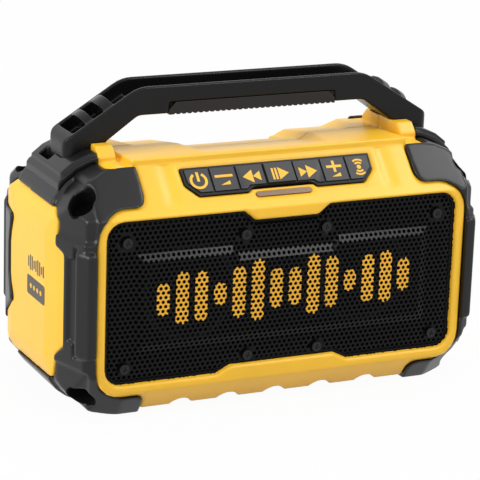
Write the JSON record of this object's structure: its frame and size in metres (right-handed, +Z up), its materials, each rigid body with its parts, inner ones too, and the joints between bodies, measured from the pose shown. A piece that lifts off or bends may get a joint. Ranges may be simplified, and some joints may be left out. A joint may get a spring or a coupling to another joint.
{
  "type": "bluetooth jobsite speaker",
  "caption": "Rugged yellow and black portable jobsite speaker with a carry handle, rubber boots, perforated grille, key strip and a slide-in battery pack.",
  "frame": {"origin": "on the ground under the middle of the speaker", "axes": "+X to the right seen from the front, +Y to the back, +Z up"},
  "size_m": [0.3, 0.154, 0.202],
  "materials": {
    "yellow_plastic": "satin, fine grain",
    "boot_rubber": "matt, fine grain",
    "black_plastic": "satin",
    "soft_rubber": "matt",
    "grille_metal": "matt black powder coat",
    "smoked_plastic": "smooth",
    "screw_steel": "plain",
    "board": "satin",
    "magnet_iron": "plain",
    "cone_paper": "matt",
    "coil_wire": "wound",
    "cell_sleeve": "film sleeve"
  },
  "bodies": {
    "speaker_body": {"front_housing": "yellow_plastic", "rear_housing": "yellow_plastic", "left_end_panel": "yellow_plastic", "right_end_panel": "yellow_plastic", "left_bumper": "boot_rubber", "right_bumper": "boot_rubber", "handle": "black_plastic", "handle_grip": "soft_rubber", "left_handle_collar": "boot_rubber", "right_handle_collar": "boot_rubber", "grille": "grille_metal", "grille_screws": "grille_metal", "keypad_frame": "soft_rubber", "keypad_board": "board", "tact_switches": "black_plastic", "status_window": "smoked_plastic", "left_driver_basket": "black_plastic", "right_driver_basket": "black_plastic", "left_driver_magnet": "magnet_iron", "right_driver_magnet": "magnet_iron", "left_driver_surround": "soft_rubber", "right_driver_surround": "soft_rubber", "left_driver_spider": "cone_paper", "right_driver_spider": "cone_paper", "driver_gaskets": "soft_rubber", "driver_screws": "screw_steel", "main_board": "board", "board_screws": "screw_steel", "battery_dock": "black_plastic", "aux_jack": "black_plastic", "dc_jack": "black_plastic", "housing_screws": "screw_steel", "handle_screws": "screw_steel", "housing_seal": "soft_rubber"},
    "power_key": {"key_power": "soft_rubber"},
    "volume_down_key": {"key_volume_down": "soft_rubber"},
    "previous_key": {"key_previous": "soft_rubber"},
    "play_key": {"key_play": "soft_rubber"},
    "next_key": {"key_next": "soft_rubber"},
    "volume_up_key": {"key_volume_up": "soft_rubber"},
    "pairing_key": {"key_pairing": "soft_rubber"},
    "left_cone": {"left_driver_cone": "cone_paper", "left_voice_coil": "coil_wire"},
    "right_cone": {"right_driver_cone": "cone_paper", "right_voice_coil": "coil_wire"},
    "battery_pack": {"battery_case": "black_plastic", "battery_cells": "cell_sleeve", "latch_spring": "screw_steel"},
    "latch_button": {"battery_latch": "soft_rubber"},
    "port_flap": {"port_cover": "soft_rubber"}
  },
  "joints": [
    {"name": "power_key_press", "type": "slide", "parent": "speaker_body", "child": "power_key", "axis": [0, 0.7133, -0.7009], "range_m": [0, 0.0008], "stiffness_N_per_m": 2500},
    {"name": "volume_down_key_press", "type": "slide", "parent": "speaker_body", "child": "volume_down_key", "axis": [0, 0.7133, -0.7009], "range_m": [0, 0.0008], "stiffness_N_per_m": 2500},
    {"name": "previous_key_press", "type": "slide", "parent": "speaker_body", "child": "previous_key", "axis": [0, 0.7133, -0.7009], "range_m": [0, 0.0008], "stiffness_N_per_m": 2500},
    {"name": "play_key_press", "type": "slide", "parent": "speaker_body", "child": "play_key", "axis": [0, 0.7133, -0.7009], "range_m": [0, 0.0008], "stiffness_N_per_m": 2500},
    {"name": "next_key_press", "type": "slide", "parent": "speaker_body", "child": "next_key", "axis": [0, 0.7133, -0.7009], "range_m": [0, 0.0008], "stiffness_N_per_m": 2500},
    {"name": "volume_up_key_press", "type": "slide", "parent": "speaker_body", "child": "volume_up_key", "axis": [0, 0.7133, -0.7009], "range_m": [0, 0.0008], "stiffness_N_per_m": 2500},
    {"name": "pairing_key_press", "type": "slide", "parent": "speaker_body", "child": "pairing_key", "axis": [0, 0.7133, -0.7009], "range_m": [0, 0.0008], "stiffness_N_per_m": 2500},
    {"name": "left_cone_travel", "type": "slide", "parent": "speaker_body", "child": "left_cone", "axis": [0, 1, 0], "range_m": [-0.0015, 0.0015], "stiffness_N_per_m": 1500, "deforming": ["left_driver_surround", "left_driver_spider"]},
    {"name": "right_cone_travel", "type": "slide", "parent": "speaker_body", "child": "right_cone", "axis": [0, 1, 0], "range_m": [-0.0015, 0.0015], "stiffness_N_per_m": 1500, "deforming": ["right_driver_surround", "right_driver_spider"]},
    {"name": "battery_slide", "type": "slide", "parent": "speaker_body", "child": "battery_pack", "axis": [0, 0, 1], "range_m": [0, 0.075]},
    {"name": "latch_press", "type": "slide", "parent": "battery_pack", "child": "latch_button", "axis": [0, -1, 0], "range_m": [0, 0.004], "stiffness_N_per_m": 900, "deforming": ["latch_spring"]},
    {"name": "port_flap_hinge", "type": "hinge", "parent": "speaker_body", "child": "port_flap", "pos_m": [-0.074, 0.07235, 0.0598], "axis": [-1, 0, 0], "range_deg": [0, 100], "stiffness_Nm_per_rad": 0.02}
  ]
}
